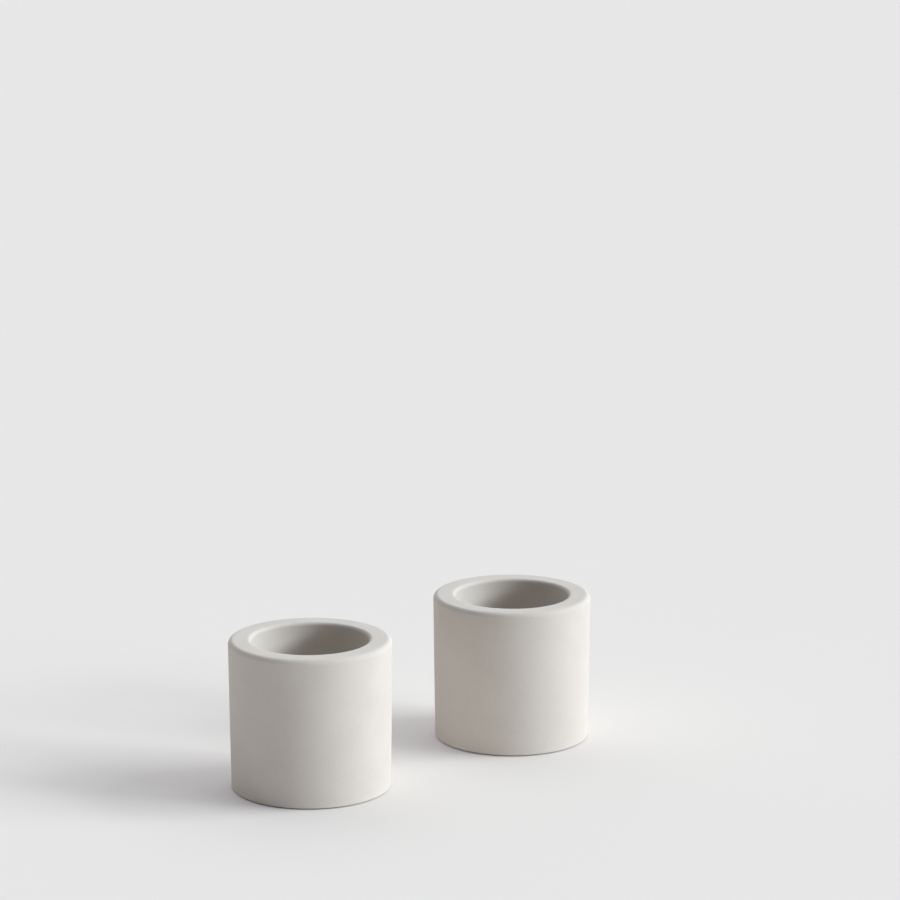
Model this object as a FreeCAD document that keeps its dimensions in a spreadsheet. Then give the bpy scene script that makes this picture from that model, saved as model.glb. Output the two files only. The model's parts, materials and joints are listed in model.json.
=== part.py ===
"""A pair of round toothbrush holders: thick-walled cups of cast mineral, each on small soft feet.

Frame: millimetres, +Z up, the counter at Z = 0. The origin is on the counter, halfway between the
two holders, and X runs from the left holder to the right one.
"""

import FreeCAD, Part
import Sketcher
import enum
import os

# Driving dimensions, one aliased cell each on the sheet

SIZES = {
    # The cup, as it leaves its mould
    "bore_diameter": 40.3,
    "bore_depth": 44.9,
    "wall_thickness": 7.85,  # at the rim
    "wall_draft": 0.68,  # degrees that the outside leans in towards the base
    "floor_thickness": 7.0,
    "rim_outer_round": 1.8,
    "rim_inner_round": 1.2,
    "base_round": 0.5,
    "bore_floor_round": 4.0,
    # The feet, bonded into round pockets in the underside
    "foot_count": 4,
    "foot_diameter": 9.0,
    "foot_thickness": 2.0,
    "foot_stand": 0.3,  # how far a foot stands out of its pocket
    "foot_round": 0.2,  # on the edge that meets the counter
    "foot_inset": 1.5,  # from a pocket to the edge of the flat underside
    "foot_clearance": 0.1,  # all round a foot, where its adhesive is
    # The pair
    "holder_gap": 35.45,  # clear space between the two rims
}

# Sizes that follow from the driving dimensions, as expressions on the sheet

BORE_RADIUS = "(Sizes.bore_diameter / 2)"
RIM_RADIUS = f"({BORE_RADIUS} + Sizes.wall_thickness)"
CUP_HEIGHT = "(Sizes.bore_depth + Sizes.floor_thickness)"
BASE_RADIUS = f"({RIM_RADIUS} - {CUP_HEIGHT} * tan(Sizes.wall_draft * 1 deg))"
FOOT_RADIUS = "(Sizes.foot_diameter / 2)"
POCKET_RADIUS = f"({FOOT_RADIUS} + Sizes.foot_clearance)"
POCKET_DEPTH = "(Sizes.foot_thickness - Sizes.foot_stand)"
FOOT_CIRCLE_RADIUS = f"({BASE_RADIUS} - Sizes.base_round - Sizes.foot_inset - {POCKET_RADIUS})"
FOOT_COUNT = "round(Sizes.foot_count)"
HOLDER_OFFSET = f"(Sizes.holder_gap / 2 + {RIM_RADIUS})"

# No fillet takes up more than this share of the wall that it rounds
WALL_SHARE = 0.45

FIRST_FOOT_ANGLE = 45  # degrees from +X, so that no foot is on the line between the holders
SIDES = {"left": -1, "right": 1}  # which way each holder stands from the origin


class Point(enum.IntEnum):
    """The sketcher's numbers for the points of a curve."""

    START = 1
    END = 2
    CENTRE = 3


class Axis(enum.IntEnum):
    """The sketcher's numbers for a sketch's own axes, which both start at its origin."""

    X = -1
    Y = -2


SKETCH_ORIGIN = (Axis.X, Point.START)


def make_sheet(doc):
    """The spreadsheet that holds the driving dimensions."""
    sheet = doc.addObject("Spreadsheet::Sheet", "Sizes")
    for row, (alias, size) in enumerate(SIZES.items(), start=1):
        sheet.set(f"A{row}", alias)
        sheet.set(f"B{row}", str(size))
        sheet.setAlias(f"B{row}", alias)
    doc.recompute()


def evaluate(item, expression):
    """The present value of an expression on the sheet, in millimetres or as a plain number."""
    return float(item.evalExpression(expression))


def origin_feature(body, role):
    """The body's own origin plane or axis with that role, such as XZ_Plane."""
    return next(item for item in body.Origin.OriginFeatures if item.Role == role)


def new_sketch(body, name, plane_role):
    """An empty sketch on one of the body's own origin planes."""
    sketch = body.newObject("Sketcher::SketchObject", name)
    sketch.AttachmentSupport = [(origin_feature(body, plane_role), "")]
    sketch.MapMode = "FlatFace"
    return sketch


def add_dimension(sketch, name, expression, kind, *places):
    """Add a named dimension to a sketch, at its present value, and bind it to the sheet.

    A place is a curve's number, followed by a point's where the dimension ends on one.
    """
    present = evaluate(sketch, expression)
    numbers = [number for place in places for number in place]
    index = sketch.addConstraint(Sketcher.Constraint(kind, *numbers, present))
    sketch.renameConstraint(index, name)
    sketch.setExpression(f"Constraints.{name}", expression)


def draw_cup_section(body):
    """Half of the cup's section, closed along its axis, with sharp corners."""
    sketch = new_sketch(body, "cup_section", "XZ_Plane")
    bore = evaluate(body, BORE_RADIUS)
    base = evaluate(body, BASE_RADIUS)
    underside = evaluate(body, "Sizes.foot_stand")
    bore_floor = underside + evaluate(body, "Sizes.floor_thickness")
    rim = underside + evaluate(body, CUP_HEIGHT)
    corners = [
        FreeCAD.Vector(0, underside),
        FreeCAD.Vector(base, underside),
        FreeCAD.Vector(evaluate(body, RIM_RADIUS), rim),
        FreeCAD.Vector(bore, rim),
        FreeCAD.Vector(bore, bore_floor),
        FreeCAD.Vector(0, bore_floor),
    ]
    count = len(corners)
    lines = [Part.LineSegment(corners[i], corners[(i + 1) % count]) for i in range(count)]
    base_line, _, rim_line, bore_line, floor_line, axis_line = sketch.addGeometry(lines, False)
    for i in range(count):
        following = (i + 1) % count
        sketch.addConstraint(Sketcher.Constraint("Coincident", i, Point.END, following, Point.START))
    for line in (base_line, rim_line, floor_line):
        sketch.addConstraint(Sketcher.Constraint("Horizontal", line))
    sketch.addConstraint(Sketcher.Constraint("Vertical", bore_line))
    for end in (Point.START, Point.END):
        sketch.addConstraint(Sketcher.Constraint("PointOnObject", axis_line, end, Axis.Y))
    base_middle = (base_line, Point.START)
    base_edge = (base_line, Point.END)
    rim_edge = (rim_line, Point.START)
    bore_top = (bore_line, Point.START)
    bore_foot = (bore_line, Point.END)
    add_dimension(sketch, "stand", "Sizes.foot_stand", "DistanceY", SKETCH_ORIGIN, base_middle)
    add_dimension(sketch, "base", BASE_RADIUS, "DistanceX", SKETCH_ORIGIN, base_edge)
    add_dimension(sketch, "floor", "Sizes.floor_thickness", "DistanceY", base_middle, bore_foot)
    add_dimension(sketch, "depth", "Sizes.bore_depth", "DistanceY", bore_foot, bore_top)
    add_dimension(sketch, "bore", BORE_RADIUS, "DistanceX", SKETCH_ORIGIN, bore_top)
    add_dimension(sketch, "wall", "Sizes.wall_thickness", "DistanceX", bore_top, rim_edge)
    return sketch


def round_edge(doc, body, name, circle_radius, circle_height, size):
    """Round the body's one circular edge of that radius at that height, each an expression."""
    doc.recompute()
    base = body.Tip
    radius = evaluate(body, circle_radius)
    height = evaluate(body, circle_height)
    tolerance = 1e-4

    def is_that_circle(edge):
        curve = edge.Curve
        if not isinstance(curve, Part.Circle):
            return False
        return abs(curve.Radius - radius) < tolerance and abs(curve.Center.z - height) < tolerance

    edges = [f"Edge{i}" for i, edge in enumerate(base.Shape.Edges, start=1) if is_that_circle(edge)]
    if len(edges) != 1:
        raise RuntimeError(f"{body.Label}: {len(edges)} edges found for {name}")
    fillet = body.newObject("PartDesign::Fillet", name)
    fillet.Base = (base, edges)
    fillet.setExpression("Radius", size)


def round_cup(doc, body):
    """Round the two edges of the rim, the corner at the foot of the bore, and the base."""
    rim_height = f"Sizes.foot_stand + {CUP_HEIGHT}"
    rim_limit = f"Sizes.wall_thickness * {WALL_SHARE}"
    round_edge(doc, body, "rim_outer_round", RIM_RADIUS, rim_height,
               f"min(Sizes.rim_outer_round; {rim_limit})")
    round_edge(doc, body, "rim_inner_round", BORE_RADIUS, rim_height,
               f"min(Sizes.rim_inner_round; {rim_limit})")
    round_edge(doc, body, "bore_floor_round", BORE_RADIUS, "Sizes.foot_stand + Sizes.floor_thickness",
               f"min(Sizes.bore_floor_round; Sizes.bore_diameter * {WALL_SHARE})")
    round_edge(doc, body, "base_round", BASE_RADIUS, "Sizes.foot_stand",
               f"min(Sizes.base_round; Sizes.floor_thickness * {WALL_SHARE})")


def cut_foot_pockets(doc, body):
    """Sink one foot pocket into the underside and repeat it round the cup's axis."""
    sketch = new_sketch(body, "pocket_circle", "XY_Plane")
    sketch.setExpression("AttachmentOffset.Base.z", "Sizes.foot_stand")
    across = f"{FOOT_CIRCLE_RADIUS} * cos({FIRST_FOOT_ANGLE} deg)"
    along = f"{FOOT_CIRCLE_RADIUS} * sin({FIRST_FOOT_ANGLE} deg)"
    centre = FreeCAD.Vector(evaluate(body, across), evaluate(body, along))
    up = FreeCAD.Vector(0, 0, 1)
    circle = sketch.addGeometry(Part.Circle(centre, up, evaluate(body, POCKET_RADIUS)), False)
    circle_centre = (circle, Point.CENTRE)
    add_dimension(sketch, "across", across, "DistanceX", SKETCH_ORIGIN, circle_centre)
    add_dimension(sketch, "along", along, "DistanceY", SKETCH_ORIGIN, circle_centre)
    add_dimension(sketch, "radius", POCKET_RADIUS, "Radius", (circle,))
    doc.recompute()
    volume_before = body.Tip.Shape.Volume
    pocket = body.newObject("PartDesign::Pocket", "foot_pocket")
    pocket.Profile = sketch
    pocket.Reversed = True  # upwards, into the casting
    pocket.setExpression("Length", POCKET_DEPTH)
    doc.recompute()
    if pocket.Shape.Volume >= volume_before:
        raise RuntimeError(f"{body.Label}: the foot pocket cuts nothing")
    ring = body.newObject("PartDesign::PolarPattern", "foot_pockets")
    ring.Originals = [pocket]
    ring.Axis = (origin_feature(body, "Z_Axis"), [""])
    ring.Angle = 360
    ring.setExpression("Occurrences", FOOT_COUNT)
    body.Tip = ring


def make_cup(doc, label, side):
    """One cast cup: its section turned about its axis, rounded, and pocketed for its feet."""
    body = doc.addObject("PartDesign::Body", label)
    body.Label = label
    section = draw_cup_section(body)
    turned = body.newObject("PartDesign::Revolution", "turned_section")
    turned.Profile = section
    turned.ReferenceAxis = (section, ["V_Axis"])
    turned.Angle = 360
    round_cup(doc, body)
    cut_foot_pockets(doc, body)
    body.setExpression("Placement.Base.x", f"{side} * {HOLDER_OFFSET}")
    return body


def make_foot(doc, label, side, angle):
    """One soft disc, seated against the roof of its pocket, with a rounded lower edge."""
    body = doc.addObject("PartDesign::Body", label)
    body.Label = label
    sketch = new_sketch(body, "foot_circle", "XY_Plane")
    up = FreeCAD.Vector(0, 0, 1)
    circle = sketch.addGeometry(Part.Circle(FreeCAD.Vector(), up, evaluate(body, FOOT_RADIUS)), False)
    sketch.addConstraint(Sketcher.Constraint("Coincident", circle, Point.CENTRE, *SKETCH_ORIGIN))
    add_dimension(sketch, "radius", FOOT_RADIUS, "Radius", (circle,))
    disc = body.newObject("PartDesign::Pad", "disc")
    disc.Profile = sketch
    disc.setExpression("Length", "Sizes.foot_thickness")
    round_edge(doc, body, "foot_round", FOOT_RADIUS, "0",
               f"min(Sizes.foot_round; Sizes.foot_thickness * {WALL_SHARE})")
    centre_x = f"{side} * {HOLDER_OFFSET} + {FOOT_CIRCLE_RADIUS} * cos({angle} deg)"
    centre_y = f"{FOOT_CIRCLE_RADIUS} * sin({angle} deg)"
    body.setExpression("Placement.Base.x", centre_x)
    body.setExpression("Placement.Base.y", centre_y)
    return body


def make_holder(doc, name):
    """One holder of the pair: a cup, and its feet numbered anticlockwise from above."""
    side = SIDES[name]
    cup = make_cup(doc, f"{name}_cup", side)
    foot_count = int(evaluate(cup, FOOT_COUNT))
    angles = [FIRST_FOOT_ANGLE + 360 * i / foot_count for i in range(foot_count)]
    feet = [make_foot(doc, f"{name}_foot_{i}", side, angle) for i, angle in enumerate(angles, start=1)]
    return [cup, *feet]


def check(doc, pieces):
    """Stop if any object failed to compute, or a piece isn't one valid solid."""
    for item in doc.Objects:
        if "Invalid" in item.State or "Error" in item.State:
            raise RuntimeError(f"{item.Label} failed: {item.State}")
    for piece in pieces:
        shape = piece.Shape
        if shape.isNull() or not shape.isValid() or len(shape.Solids) != 1:
            raise RuntimeError(f"{piece.Label} isn't one valid solid")


def main():
    doc = FreeCAD.newDocument("ToothbrushHolders")
    make_sheet(doc)
    pieces = [piece for name in SIDES for piece in make_holder(doc, name)]
    doc.recompute()
    check(doc, pieces)
    os.makedirs("parts", exist_ok=True)
    for piece in pieces:
        piece.Shape.exportStep(f"parts/{piece.Label}.step")
        print(f"{piece.Label}: {piece.Shape.Volume:.1f} mm3")


main()
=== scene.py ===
"""A pair of cast mineral toothbrush holders on a pale counter, dressed round their CAD frame.

Everything is in metres, +Z up, with the counter at Z = 0 and the origin midway between the holders.
"""

import json
import math

import bmesh
import bpy
import numpy as np
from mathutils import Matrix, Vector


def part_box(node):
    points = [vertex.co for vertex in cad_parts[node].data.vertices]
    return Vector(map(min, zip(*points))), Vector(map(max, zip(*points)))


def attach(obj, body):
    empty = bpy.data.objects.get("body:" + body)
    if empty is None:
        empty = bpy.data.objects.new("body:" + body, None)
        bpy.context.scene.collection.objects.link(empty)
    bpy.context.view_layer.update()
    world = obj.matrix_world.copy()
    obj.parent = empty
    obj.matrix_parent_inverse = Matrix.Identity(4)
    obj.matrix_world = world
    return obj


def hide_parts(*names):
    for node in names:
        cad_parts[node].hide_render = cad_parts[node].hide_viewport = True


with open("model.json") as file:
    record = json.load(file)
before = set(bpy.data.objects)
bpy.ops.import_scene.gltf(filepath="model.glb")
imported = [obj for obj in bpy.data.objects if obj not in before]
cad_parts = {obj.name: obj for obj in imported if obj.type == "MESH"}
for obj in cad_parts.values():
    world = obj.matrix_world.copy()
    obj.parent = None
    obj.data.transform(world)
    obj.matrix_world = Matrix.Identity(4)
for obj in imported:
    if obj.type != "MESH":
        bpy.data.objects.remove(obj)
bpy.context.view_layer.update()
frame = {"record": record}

# The two cups
# Each is one casting of fine pale mineral, poured into a mould, drawn out upwards and rubbed down by
# hand: a thick wall, a flat rim with eased edges, a blind bore, and a pocket in the base for each foot.

MILLIMETRE = 0.001
SIDES = ("left", "right")
FEET_PER_CUP = 4

RIM_OUTER_ROUND = 1.8 * MILLIMETRE
RIM_INNER_ROUND = 1.2 * MILLIMETRE
BASE_ROUND = 0.5 * MILLIMETRE
BORE_FLOOR_ROUND = 4.0 * MILLIMETRE
WALL_DRAFT = math.radians(0.68)
POCKET_CLEARANCE = 0.1 * MILLIMETRE
POCKET_ROUND = 0.2 * MILLIMETRE

TURN_STEPS = 480  # columns round a cup, shared out equally among its feet
SLICE_SIDE_STEPS = 30  # columns along each straight side of a foot's share
RUN_SPACING = 2.0 * MILLIMETRE
ARC_STEPS = 10
SLICE_RINGS = 8
SAME_POINT = 1e-7  # metres within which two points of a mesh are one


def rounded_outline(corners, rounds):
    """Points of an open outline that is straight between its corners and turns each inner one on an arc.

    An arc of radius q that turns by the angle t begins and ends q * tan(t / 2) from its corner, and its
    centre lies q to the inner side of the line at its beginning. The points of a straight run follow
    (1 - cos(pi * s)) / 2 of its length, so they crowd at both ends and keep the arcs' shading there.
    """
    corners = np.asarray(corners, float)
    legs = np.diff(corners, axis=0)
    headings = np.arctan2(legs[:, 1], legs[:, 0])
    arcs = [corners[:1]]
    for corner, heading, turned, radius in zip(corners[1:-1], headings, headings[1:], rounds):
        turn = (turned - heading + math.pi) % (2 * math.pi) - math.pi
        setback = radius * math.tan(abs(turn) / 2)
        begin = corner - setback * np.array([math.cos(heading), math.sin(heading)])
        inward = heading + math.copysign(math.pi / 2, turn)
        centre = begin + radius * np.array([math.cos(inward), math.sin(inward)])
        swept = inward + math.pi + turn * np.linspace(0, 1, ARC_STEPS)
        arcs.append(centre + radius * np.stack([np.cos(swept), np.sin(swept)], axis=1))
    arcs.append(corners[-1:])
    points = []
    for arc, following in zip(arcs, arcs[1:]):
        begin, end = arc[-1], following[0]
        steps = 2 + math.ceil(np.linalg.norm(end - begin) / RUN_SPACING)
        share = (1 - np.cos(math.pi * np.linspace(0, 1, steps)[:-1, None])) / 2
        points += [arc[:-1], begin + share * (end - begin)]
    return np.concatenate([*points, arcs[-1]])


def turned_points(outline, centre, steps):
    """An outline of (radius, height) turned about a vertical axis, with one row for each of its points."""
    angle = np.linspace(0, 2 * math.pi, steps + 1)
    radius, height = outline[:, :1], outline[:, 1:]
    x = centre[0] + radius * np.cos(angle)
    y = centre[1] + radius * np.sin(angle)
    return np.stack([x, y, np.broadcast_to(height, x.shape)], axis=-1)


def pocketed_slice(foot, centre, flat_radius, profile):
    """One foot's share of a cup's underside: rings round the foot that grow into a slice of a circle.

    The first rings are circles about the foot, of the profile's radii at its heights. The last ring is
    the slice's outline, out along one edge, round the arc and back along the other edge, and the rings
    between divide the straight lines from the last circle to that outline. The slice is turned to the
    column of the wall that is nearest to the foot, so that its points meet those of the wall.
    """
    column = 2 * math.pi / TURN_STEPS
    middle = column * round(math.atan2(foot[1] - centre[1], foot[0] - centre[0]) / column)
    half = math.pi / FEET_PER_CUP
    edge = np.linspace(0, 1, SLICE_SIDE_STEPS + 1)
    arc = np.linspace(-half, half, TURN_STEPS // FEET_PER_CUP + 1)
    angle = middle + np.concatenate([np.full(edge.size - 1, -half), arc, np.full(edge.size - 1, half)])
    share = np.concatenate([edge[:-1], np.ones(arc.size), edge[-2::-1]])
    outline = np.stack([np.cos(angle), np.sin(angle)], axis=1) * (flat_radius * share)[:, None] + centre
    outward = outline - foot
    outward /= np.linalg.norm(outward, axis=1, keepdims=True)
    circles = foot + profile[:, :1, None] * outward
    growth = np.linspace(0, 1, SLICE_RINGS + 1)[1:, None, None]
    spread = circles[-1] + growth * (outline - circles[-1])
    plan = np.concatenate([circles, spread])
    height = np.concatenate([profile[:, 1], np.full(len(spread), profile[-1, 1])])
    return np.concatenate([plan, np.broadcast_to(height[:, None, None], (*plan.shape[:2], 1))], axis=-1)


def grid_piece(name, grids):
    """A closed smooth mesh of one or more grids of points, joined where their edges coincide."""
    points, faces, first = [], [], 0
    for grid in grids:
        rows, columns = grid.shape[:2]
        index = first + np.arange(rows * columns).reshape(rows, columns)
        corners = (index[:-1, :-1], index[:-1, 1:], index[1:, 1:], index[1:, :-1])
        faces.append(np.stack(corners, axis=-1).reshape(-1, 4))
        points.append(grid.reshape(-1, 3))
        first += rows * columns
    mesh = bpy.data.meshes.new(name)
    mesh.from_pydata(np.concatenate(points), [], np.concatenate(faces).tolist())
    shell = bmesh.new()
    shell.from_mesh(mesh)
    bmesh.ops.remove_doubles(shell, verts=shell.verts, dist=SAME_POINT)
    bmesh.ops.recalc_face_normals(shell, faces=shell.faces)
    shell.to_mesh(mesh)
    shell.free()
    mesh.shade_smooth()
    piece = bpy.data.objects.new(name, mesh)
    bpy.context.scene.collection.objects.link(piece)
    return piece


def plan_centre(node):
    """The middle of a CAD node's box, seen from above."""
    low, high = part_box(node)
    return np.array([(low.x + high.x) / 2, (low.y + high.y) / 2])


def cup_corners(side):
    """The corners of a cup's section as (radius, height), from the flat of its base to its bore's axis."""
    low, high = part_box(f"{side}_cup")
    bore = next(mount for mount in frame["record"]["mounts"] if mount["name"] == f"{side}_bore")
    bore_radius = bore["dims"]["r_mm"] * MILLIMETRE
    straight_bore = bore["dims"]["length_mm"] * MILLIMETRE
    bore_floor = high.z - RIM_INNER_ROUND - straight_bore - BORE_FLOOR_ROUND
    rim_radius = (high.x - low.x) / 2
    base_radius = rim_radius - (high.z - low.z) * math.tan(WALL_DRAFT)
    return [
        (base_radius - 2 * BASE_ROUND, low.z),
        (base_radius, low.z),
        (rim_radius, high.z),
        (bore_radius, high.z),
        (bore_radius, bore_floor),
        (0, bore_floor),
    ]


def cup_grids(side):
    """A cup's section turned about its axis, and its underside with a pocket round each foot."""
    centre = plan_centre(f"{side}_cup")
    corners = cup_corners(side)
    flat_radius, base_height = corners[0]
    outline = rounded_outline(corners, [BASE_ROUND, RIM_OUTER_ROUND, RIM_INNER_ROUND, BORE_FLOOR_ROUND])
    grids = [turned_points(outline, centre, TURN_STEPS)]
    for number in range(1, FEET_PER_CUP + 1):
        foot_low, foot_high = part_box(f"{side}_foot_{number}")
        pocket_radius = (foot_high.x - foot_low.x) / 2 + POCKET_CLEARANCE
        pocket_corners = [
            (0, foot_high.z),
            (pocket_radius, foot_high.z),
            (pocket_radius, base_height),
            (pocket_radius + 2 * POCKET_ROUND, base_height),
        ]
        pocket = rounded_outline(pocket_corners, [POCKET_ROUND, POCKET_ROUND])
        grids.append(pocketed_slice(plan_centre(f"{side}_foot_{number}"), centre, flat_radius, pocket))
    return grids


# The darkest stop is painted shade, seen mostly in the pits.
STONE_PIT_SHADE = (0.40, 0.36, 0.31, 1)
STONE_DEEP = (0.588, 0.538, 0.483, 1)
STONE_PALE = (0.632, 0.582, 0.527, 1)
STONE_RUBBED = (0.66, 0.61, 0.555, 1)
STONE_ROUGHNESS = 0.88
STONE_GLOSS = 0.2
DEEP_TONE, MIDDLE_TONE, PALE_TONE = 0.25, 0.5, 0.75
CLOUD_SIZE = 13 * MILLIMETRE
CLOUD_STRENGTH = 0.35
CLOUD_ROUGHNESS = -0.15  # change of roughness for one of cloud, so that pale clouds are smoother
NOISE_DETAIL = 3.0  # finer octaves in a noise, each half the size of the last
GRAIN_SIZE = 0.45 * MILLIMETRE
GRAIN_STRENGTH = 0.5
PIT_SPACING = 6 * MILLIMETRE
PIT_RADII = (0.05 * MILLIMETRE, 0.26 * MILLIMETRE)
PIT_DEPTH = 0.14 * MILLIMETRE
GRAIN_DEPTH = 0.02 * MILLIMETRE
RUBBED_REACH = 1.3 * MILLIMETRE
RUBBED_STRENGTH = 0.2


def add_node(tree, kind, inputs, **settings):
    """A node of that kind with its settings, each of its inputs set to a value or linked from a socket."""
    node = tree.nodes.new(kind)
    for name, value in settings.items():
        setattr(node, name, value)
    sockets = {socket.identifier: socket for socket in node.inputs}
    for name, value in inputs.items():
        if isinstance(value, bpy.types.NodeSocket):
            tree.links.new(value, sockets[name])
        else:
            sockets[name].default_value = value
    return node


def scaled_sum(tree, value, factor, offset):
    """The socket of value * factor + offset."""
    inputs = {"Value": value, "Value_001": factor, "Value_002": offset}
    return add_node(tree, "ShaderNodeMath", inputs, operation="MULTIPLY_ADD").outputs["Value"]


def noise_about_zero(tree, place, size, strength):
    """Noise with lumps of the given size, from about -strength to +strength round zero."""
    inputs = {"Vector": place, "Scale": 1 / size, "Detail": NOISE_DETAIL}
    noise = add_node(tree, "ShaderNodeTexNoise", inputs).outputs["Fac"]
    return scaled_sum(tree, noise, 2 * strength, -strength)


def colour_ramp(tree, tone, stops):
    """The socket of the colour that a tone from 0 to 1 has on a ramp of (tone, colour) stops."""
    ramp = add_node(tree, "ShaderNodeValToRGB", {"Fac": tone})
    for place, _ in stops[1:-1]:
        ramp.color_ramp.elements.new(place)
    for element, (place, colour) in zip(ramp.color_ramp.elements, stops):
        element.position = place
        element.color = colour
    return ramp.outputs["Color"]


def mark_rubbed_edges(cup, side):
    """Keep on each point of a cup how far it is rubbed pale: exp(-(d / reach) squared).

    Here d is the distance to the nearest edge: the circle round the base, the rim or the mouth of the bore.
    """
    points = np.empty(3 * len(cup.data.vertices), np.float32)
    cup.data.vertices.foreach_get("co", points)
    points = points.reshape(-1, 3)
    radius = np.linalg.norm(points[:, :2] - plan_centre(f"{side}_cup"), axis=1)
    section = np.stack([radius, points[:, 2]], axis=1)
    edges = np.array(cup_corners(side)[1:4])
    distance = np.linalg.norm(section[:, None] - edges, axis=2).min(axis=1)
    rubbed = cup.data.attributes.new("rubbed", "FLOAT", "POINT")
    rubbed.data.foreach_set("value", np.exp(-(distance / RUBBED_REACH) ** 2).astype(np.float32))


def cast_stone():
    """Matte stone: one tone of soft clouds, fine grain, rubbed edges and a few pits, read as a colour.

    A pit is a ball about a point of a random lattice, with a radius of its own, where the surface cuts it.
    The bump dents it, and its colour goes towards the darkest stop, as painted shade in the pit.
    """
    material = bpy.data.materials.new("cast_stone")
    material.use_nodes = True
    tree = material.node_tree
    shader = tree.nodes["Principled BSDF"]
    place = add_node(tree, "ShaderNodeTexCoord", {}).outputs["Object"]
    cloud = noise_about_zero(tree, place, CLOUD_SIZE, CLOUD_STRENGTH)
    grain = noise_about_zero(tree, place, GRAIN_SIZE, GRAIN_STRENGTH)
    rubbed = add_node(tree, "ShaderNodeAttribute", {}, attribute_name="rubbed").outputs["Fac"]
    lattice = add_node(tree, "ShaderNodeTexVoronoi", {"Vector": place, "Scale": 1 / PIT_SPACING})
    least, most = (radius / PIT_SPACING for radius in PIT_RADII)
    pit_radius = scaled_sum(tree, lattice.outputs["Color"], most - least, least)
    pit_range = {"Value": lattice.outputs["Distance"], "From Max": pit_radius, "To Min": 1.0, "To Max": 0.0}
    pit_dent_and_shade = add_node(tree, "ShaderNodeMapRange", pit_range, interpolation_type="SMOOTHSTEP").outputs["Result"]
    tone = scaled_sum(tree, rubbed, RUBBED_STRENGTH, MIDDLE_TONE)
    for share in (cloud, grain):
        tone = scaled_sum(tree, share, 1.0, tone)
    # A pit darkens the tone: painted shade inside the pit.
    tone = scaled_sum(tree, pit_dent_and_shade, -1.0, tone)
    stops = ((0, STONE_PIT_SHADE), (DEEP_TONE, STONE_DEEP), (PALE_TONE, STONE_PALE), (1, STONE_RUBBED))
    tree.links.new(colour_ramp(tree, tone, stops), shader.inputs["Base Color"])
    tree.links.new(scaled_sum(tree, cloud, CLOUD_ROUGHNESS, STONE_ROUGHNESS), shader.inputs["Roughness"])
    shader.inputs["Specular IOR Level"].default_value = STONE_GLOSS
    height = scaled_sum(tree, pit_dent_and_shade, -PIT_DEPTH / GRAIN_DEPTH, grain)
    bump = add_node(tree, "ShaderNodeBump", {"Height": height, "Distance": GRAIN_DEPTH})
    tree.links.new(bump.outputs["Normal"], shader.inputs["Normal"])
    return material


stone = cast_stone()
for side in SIDES:
    cup = grid_piece(f"{side}_stone_cup", cup_grids(side))
    mark_rubbed_edges(cup, side)
    cup.data.materials.append(stone)
    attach(cup, f"{side}_holder")
    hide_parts(f"{side}_cup")

# The feet
# Each is a small moulded disc of soft grey silicone, bonded into its pocket in the base of a cup so that
# it stands a little proud, keeps the stone off the counter and grips.

FOOT_SOLE_ROUND = 0.2 * MILLIMETRE
FOOT_TOP_ROUND = 0.1 * MILLIMETRE
FOOT_TURN_STEPS = 96

SILICONE_DEEP = (0.27, 0.265, 0.25, 1)
SILICONE_PALE = (0.33, 0.325, 0.31, 1)
SILICONE_ROUGHNESS = 0.55
SILICONE_GRAIN_SIZE = 0.25 * MILLIMETRE
SILICONE_GRAIN_DEPTH = 0.012 * MILLIMETRE
SILICONE_GRAIN_ROUGHNESS = 0.2  # change of roughness for one of grain
SILICONE_CLOUD_SIZE = 3 * MILLIMETRE


def soft_silicone():
    """Matte silicone: a grey that is a little cloudy, with the fine bite of an etched mould."""
    material = bpy.data.materials.new("soft_silicone")
    material.use_nodes = True
    tree = material.node_tree
    shader = tree.nodes["Principled BSDF"]
    place = add_node(tree, "ShaderNodeTexCoord", {}).outputs["Object"]
    cloud = noise_about_zero(tree, place, SILICONE_CLOUD_SIZE, CLOUD_STRENGTH)
    grain = noise_about_zero(tree, place, SILICONE_GRAIN_SIZE, GRAIN_STRENGTH)
    tone = scaled_sum(tree, cloud, 1.0, MIDDLE_TONE)
    stops = ((0, SILICONE_DEEP), (1, SILICONE_PALE))
    tree.links.new(colour_ramp(tree, tone, stops), shader.inputs["Base Color"])
    roughness = scaled_sum(tree, grain, SILICONE_GRAIN_ROUGHNESS, SILICONE_ROUGHNESS)
    tree.links.new(roughness, shader.inputs["Roughness"])
    bump = add_node(tree, "ShaderNodeBump", {"Height": grain, "Distance": SILICONE_GRAIN_DEPTH})
    tree.links.new(bump.outputs["Normal"], shader.inputs["Normal"])
    return material


def foot_grid(node):
    """A foot's section, from the middle of its top to the middle of its sole, turned about its axis."""
    low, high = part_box(node)
    radius = (high.x - low.x) / 2
    corners = [(0, high.z), (radius, high.z), (radius, low.z), (0, low.z)]
    outline = rounded_outline(corners, [FOOT_TOP_ROUND, FOOT_SOLE_ROUND])
    return turned_points(outline, plan_centre(node), FOOT_TURN_STEPS)


silicone = soft_silicone()
for side in SIDES:
    for number in range(1, FEET_PER_CUP + 1):
        foot = grid_piece(f"{side}_silicone_foot_{number}", [foot_grid(f"{side}_foot_{number}")])
        foot.data.materials.append(silicone)
        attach(foot, f"{side}_holder")
        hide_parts(f"{side}_foot_{number}")

# The counter
# A plain pale sheet under the holders. It throws light back at them as warm white paper does. To the
# camera it is a little greyer, and a faint cool glow painted evenly on it lightens its shadows. The glow
# fades out where the gap under a cup is shaded, which paints that gap darker, as painted shade.

COUNTER_HALF = 8.0
COUNTER_BOUNCE = (0.95, 0.907, 0.875, 1)
COUNTER_SEEN = (0.79, 0.746, 0.670, 1)
PALE_GREY = (0.80, 0.80, 0.80, 1)
# The colour of a glow painted evenly on the counter, which lightens its shadows.
VEIL_TINT = (0.80, 0.80, 1.23, 1)
VEIL_SHARE = 0.08
GAP_REACH = 1.5 * MILLIMETRE
WALL_OPENNESS = 0.5  # the share of the sky that is open at the foot of a wall, and less in a gap
GAP_SAMPLES = 8


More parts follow.
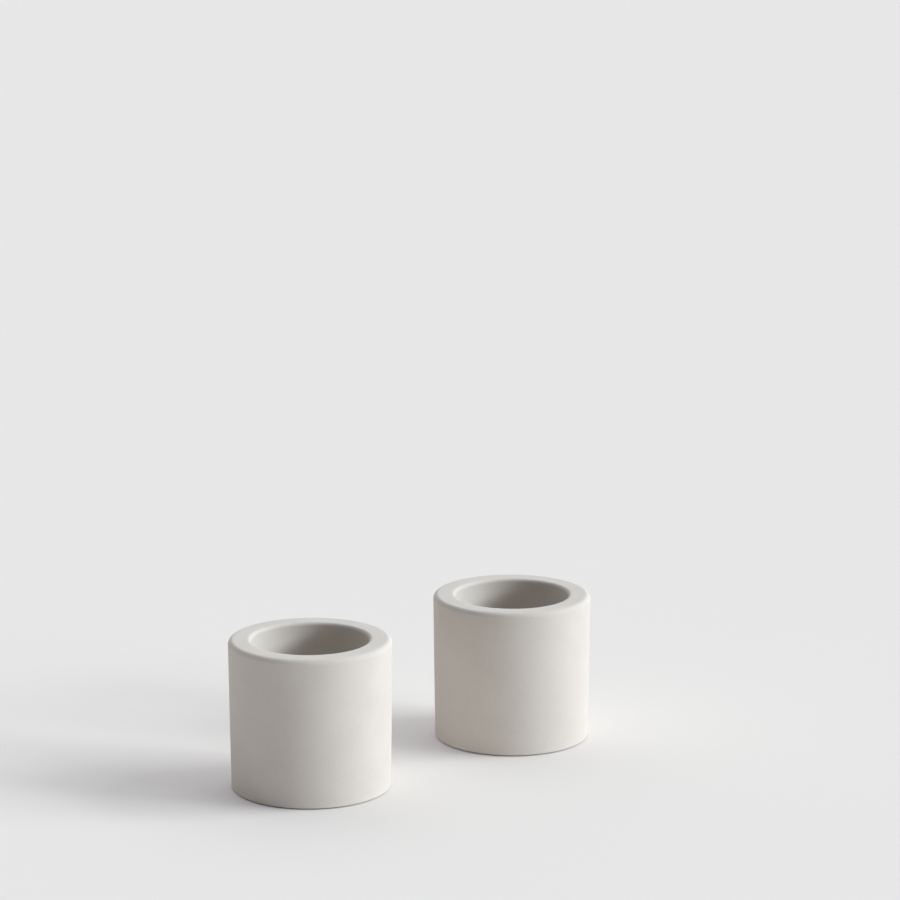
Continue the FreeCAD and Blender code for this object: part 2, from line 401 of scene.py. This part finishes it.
def seen_directly(tree):
    """The socket that is 1 on a ray from the camera or from a gloss, and 0 on one that lights something."""
    path = add_node(tree, "ShaderNodeLightPath", {})
    rays = {"Value": path.outputs["Is Camera Ray"], "Value_001": path.outputs["Is Glossy Ray"]}
    return add_node(tree, "ShaderNodeMath", rays, operation="MAXIMUM").outputs["Value"]


counter_mesh = bpy.data.meshes.new("counter")
counter_x, counter_y = COUNTER_HALF * np.array([[-1, 1, 1, -1], [-1, -1, 1, 1]])
counter_mesh.from_pydata(np.stack([counter_x, counter_y, np.zeros(4)], axis=1), [], [(0, 1, 2, 3)])
counter = bpy.data.objects.new("counter", counter_mesh)
bpy.context.scene.collection.objects.link(counter)

counter_paint = bpy.data.materials.new("counter_paint")
counter_paint.use_nodes = True
counter_tree = counter_paint.node_tree
counter_shader = counter_tree.nodes["Principled BSDF"]
counter_seen = seen_directly(counter_tree)
counter_stops = ((0, COUNTER_BOUNCE), (1, COUNTER_SEEN))
counter_colour = colour_ramp(counter_tree, counter_seen, counter_stops)
counter_tree.links.new(counter_colour, counter_shader.inputs["Base Color"])
counter_shader.inputs["Roughness"].default_value = 1.0
counter_shader.inputs["Specular IOR Level"].default_value = 0.0
veil = add_node(counter_tree, "ShaderNodeEmission", {"Color": VEIL_TINT})
# Painted shade: the glow fades where little of the sky is open, in the gap under each cup.
sky = add_node(counter_tree, "ShaderNodeAmbientOcclusion", {"Distance": GAP_REACH}, samples=GAP_SAMPLES)
veil_range = {"Value": sky.outputs["AO"], "From Max": WALL_OPENNESS, "To Max": VEIL_SHARE}
open_share = add_node(counter_tree, "ShaderNodeMapRange", veil_range).outputs["Result"]
veil_share = scaled_sum(counter_tree, counter_seen, open_share, 0.0)
counter_layers = {"Fac": veil_share, "Shader": counter_shader.outputs[0], "Shader_001": veil.outputs[0]}
counter_look = add_node(counter_tree, "ShaderNodeMixShader", counter_layers)
counter_output = counter_tree.nodes["Material Output"]
counter_tree.links.new(counter_look.outputs[0], counter_output.inputs["Surface"])
counter_mesh.materials.append(counter_paint)

# The light
# A tall soft panel stands to the right of the view, from the near side round to the far side. A wide
# glow comes from above and behind, and a faint one from before. The bare studio round them is pale grey.

VIEW_TURN = math.radians(-40.466)
PANEL_TINT = (0.868, 0.945, 1.02)
GLOW_TINT = (0.905, 0.942, 0.985)
PANEL_PARTS = (  # turn to the right of the view, height and spread in degrees, and strength
    (60, 16, 12, 0.50),
    (75, 16, 12, 1.08),
    (90, 30, 26, 1.68),
    (105, 46, 12, 0.36),
)
BACK_GLOW = 1.255
FRONT_GLOW = 0.09

for turn, height, spread, strength in PANEL_PARTS:
    lamp_name = f"panel_{turn}_{height}"
    lamp_data = bpy.data.lights.new(lamp_name, "SUN")
    lamp_data.energy = strength
    lamp_data.angle = math.radians(spread)
    lamp_data.color = PANEL_TINT
    lamp = bpy.data.objects.new(lamp_name, lamp_data)
    lamp.rotation_euler = (math.radians(90 - height), 0, VIEW_TURN + math.radians(turn))
    bpy.context.scene.collection.objects.link(lamp)

world = bpy.data.worlds.new("studio")
bpy.context.scene.world = world
world.use_nodes = True
world_tree = world.node_tree
direction = add_node(world_tree, "ShaderNodeTexCoord", {}).outputs["Generated"]
away = np.array([-math.sin(VIEW_TURN), math.cos(VIEW_TURN), 0])
upward = np.array([0, 0, 1])
glow_strength = 0.0
for heart, strength in (((away + upward) / math.sqrt(2), BACK_GLOW), (-away, FRONT_GLOW)):
    facing = {"Vector": direction, "Vector_001": tuple(heart)}
    dot = add_node(world_tree, "ShaderNodeVectorMath", facing, operation="DOT_PRODUCT").outputs["Value"]
    lobe = add_node(world_tree, "ShaderNodeMath", {"Value": dot, "Value_001": 0.0}, operation="MAXIMUM")
    glow_strength = scaled_sum(world_tree, lobe.outputs["Value"], strength, glow_strength)
glow = world_tree.nodes["Background"]
glow.inputs["Color"].default_value = (*GLOW_TINT, 1)
world_tree.links.new(glow_strength, glow.inputs["Strength"])
bare_studio = add_node(world_tree, "ShaderNodeBackground", {"Color": PALE_GREY})
layers = {"Fac": seen_directly(world_tree), "Shader": glow.outputs[0], "Shader_001": bare_studio.outputs[0]}
studio = add_node(world_tree, "ShaderNodeMixShader", layers)
world_tree.links.new(studio.outputs[0], world_tree.nodes["World Output"].inputs["Surface"])

# The camera
# It looks a little down at the pair through a long lens, from in front of the left holder's left side.

VIEW_DIP = math.radians(12.596)
CAMERA_PLACE = (-0.77193, -0.92460, 0.38024)
CAMERA_LENS = 143.299  # millimetres, on a sensor of the width below
SENSOR_WIDTH = 36
CAMERA_REACH = 100

camera_data = bpy.data.cameras.new("camera")
camera_data.sensor_width = SENSOR_WIDTH
camera_data.lens = CAMERA_LENS
camera_data.clip_end = CAMERA_REACH
camera = bpy.data.objects.new("camera", camera_data)
camera.location = CAMERA_PLACE
camera.rotation_euler = (math.radians(90) - VIEW_DIP, 0, VIEW_TURN)
bpy.context.scene.collection.objects.link(camera)
bpy.context.scene.camera = camera

bpy.context.scene.view_settings.view_transform = "Standard"
